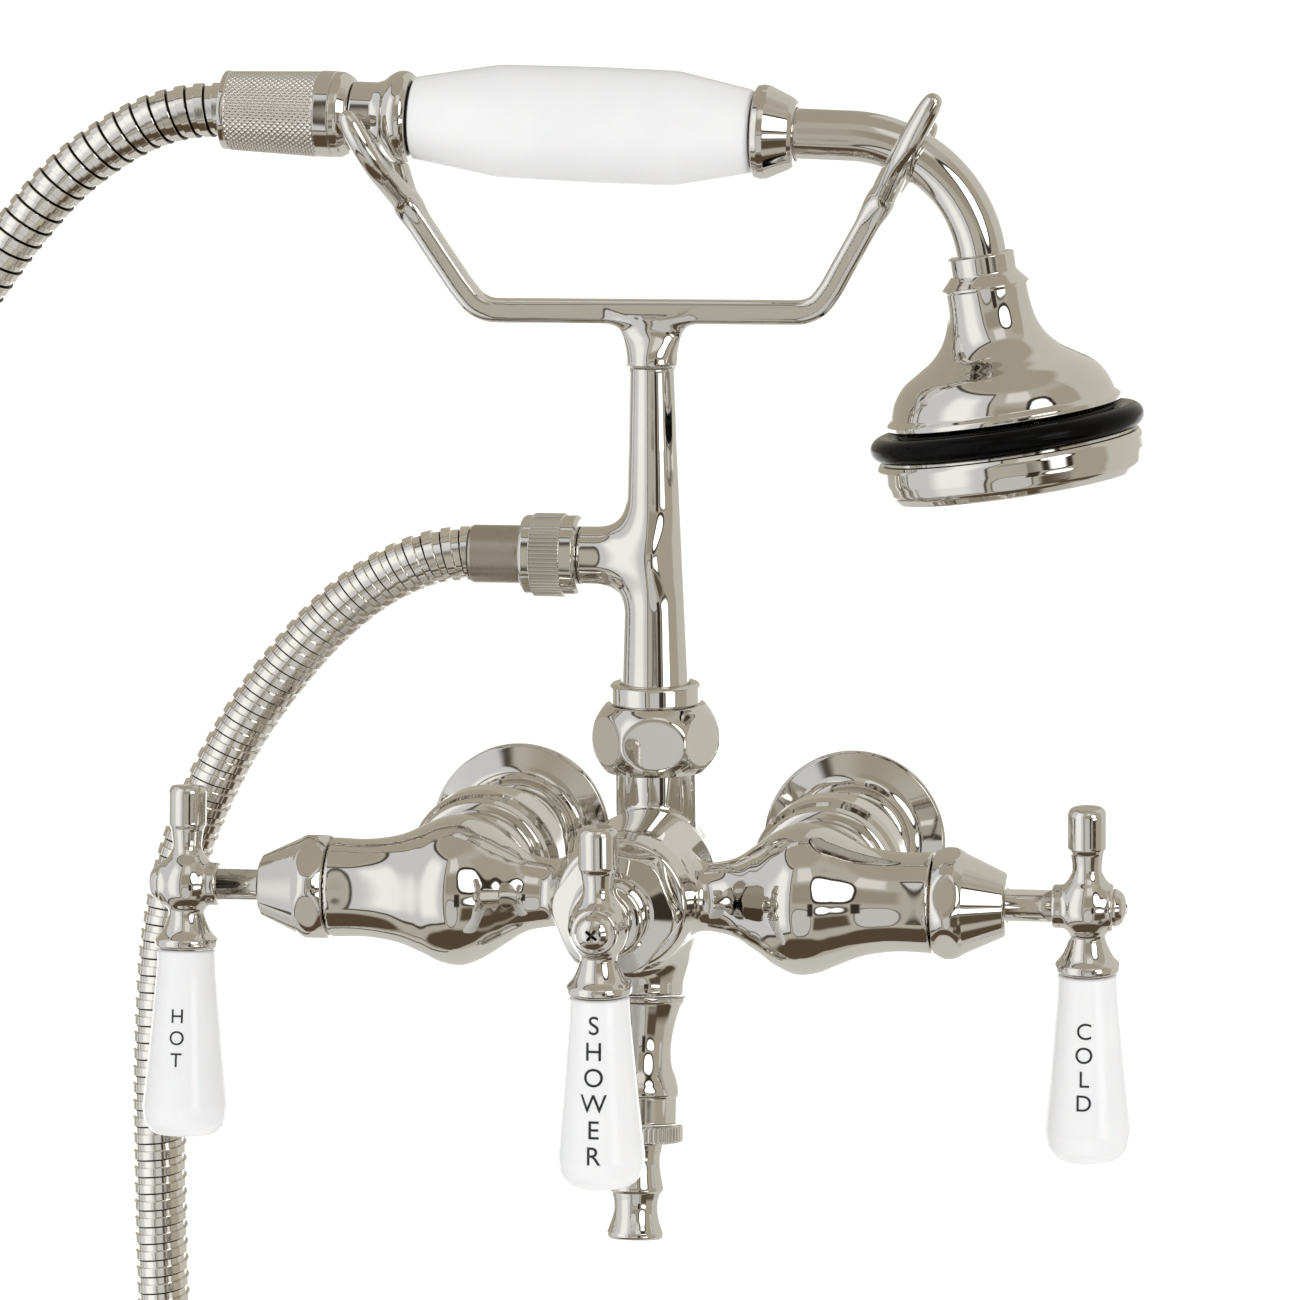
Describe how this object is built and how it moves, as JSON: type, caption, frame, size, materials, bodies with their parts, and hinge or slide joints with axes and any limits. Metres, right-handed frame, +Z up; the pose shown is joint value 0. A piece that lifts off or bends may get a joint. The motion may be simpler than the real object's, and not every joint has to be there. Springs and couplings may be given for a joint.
{
  "type": "wall mounted bath faucet",
  "caption": "Polished nickel wall faucet for a bath: bulbous valve body, porcelain levers, downward spout, tall riser, fork cradle and a lift-off porcelain hand shower on a metal hose.",
  "frame": {"origin": "on the wall plane, midway between the two inlets and at their height", "axes": "+X along the faucet from the hot side to the cold side, +Y into the wall, +Z up; the faucet's front faces -Y"},
  "size_m": [0.3725, 0.1689, 0.6195],
  "materials": {
    "nickel": "polished nickel plate on brass",
    "satin_nickel": "satin nickel",
    "hose_metal": "polished interlocking metal hose",
    "stem_metal": "plated brass spindle",
    "brass": "machined brass",
    "porcelain": "glossy white glaze",
    "black_rubber": "smooth black rubber",
    "washer_rubber": "matte black rubber"
  },
  "bodies": {
    "faucet": {"body_casting": "nickel", "riser_union_nut": "nickel", "riser_collar": "nickel", "riser_column": "nickel", "handset_cradle": "nickel", "hot_inlet_escutcheon": "nickel", "cold_inlet_escutcheon": "nickel", "hot_inlet_coupling_nut": "nickel", "cold_inlet_coupling_nut": "nickel", "hot_bonnet_nut": "nickel", "cold_bonnet_nut": "nickel", "diverter_bonnet": "nickel", "diverter_packing_nut": "nickel", "spout_tube": "nickel", "spout_knurled_ring": "nickel", "spout_nozzle": "nickel", "hose_union_nut": "nickel", "hot_cartridge": "brass", "cold_cartridge": "brass", "diverter_cartridge": "brass", "hot_inlet_shank": "brass", "cold_inlet_shank": "brass", "hot_inlet_washer": "washer_rubber", "cold_inlet_washer": "washer_rubber", "riser_washer": "washer_rubber", "hose_washer": "washer_rubber", "spout_washer": "washer_rubber", "hose": "hose_metal", "hose_ferrule": "satin_nickel"},
    "hot_handle": {"hot_stem": "stem_metal", "hot_hub": "nickel", "hot_screw": "nickel", "hot_stud": "brass", "hot_lever": "porcelain"},
    "cold_handle": {"cold_stem": "stem_metal", "cold_hub": "nickel", "cold_screw": "nickel", "cold_stud": "brass", "cold_lever": "porcelain"},
    "diverter_handle": {"diverter_stem": "stem_metal", "diverter_hub": "nickel", "diverter_screw": "nickel", "diverter_stud": "brass", "diverter_lever": "porcelain"},
    "handset": {"handset_hose_washer": "washer_rubber", "handset_ferrule": "nickel", "rear_grip_gasket": "washer_rubber", "handset_grip": "porcelain", "front_grip_gasket": "washer_rubber", "handset_cap_nut": "nickel", "handset_tube": "nickel", "shower_bell": "nickel", "bumper_ring": "black_rubber", "shower_face_cup": "nickel", "spray_gasket": "washer_rubber", "spray_plate": "nickel"},
    "hose_nut": {"handset_hose_nut": "nickel"}
  },
  "joints": [
    {"name": "hot_handle_turn", "type": "hinge", "parent": "faucet", "child": "hot_handle", "pos_m": [-0.11, -0.078, 0], "axis": [-1, 0, 0], "range_deg": [0, 90]},
    {"name": "cold_handle_turn", "type": "hinge", "parent": "faucet", "child": "cold_handle", "pos_m": [0.11, -0.078, 0], "axis": [-1, 0, 0], "range_deg": [0, 90]},
    {"name": "diverter_turn", "type": "hinge", "parent": "faucet", "child": "diverter_handle", "pos_m": [0, -0.1186, 0], "axis": [0, 1, 0], "range_deg": [0, 90]},
    {"name": "handset_lift", "type": "slide", "parent": "faucet", "child": "handset", "axis": [0, 0, 1], "range_m": [0, 0.045]},
    {"name": "hose_nut_spin", "type": "hinge", "parent": "handset", "child": "hose_nut", "pos_m": [-0.0896, -0.0433, 0.18519], "axis": [0.9993, 0, -0.0384], "continuous": true}
  ]
}
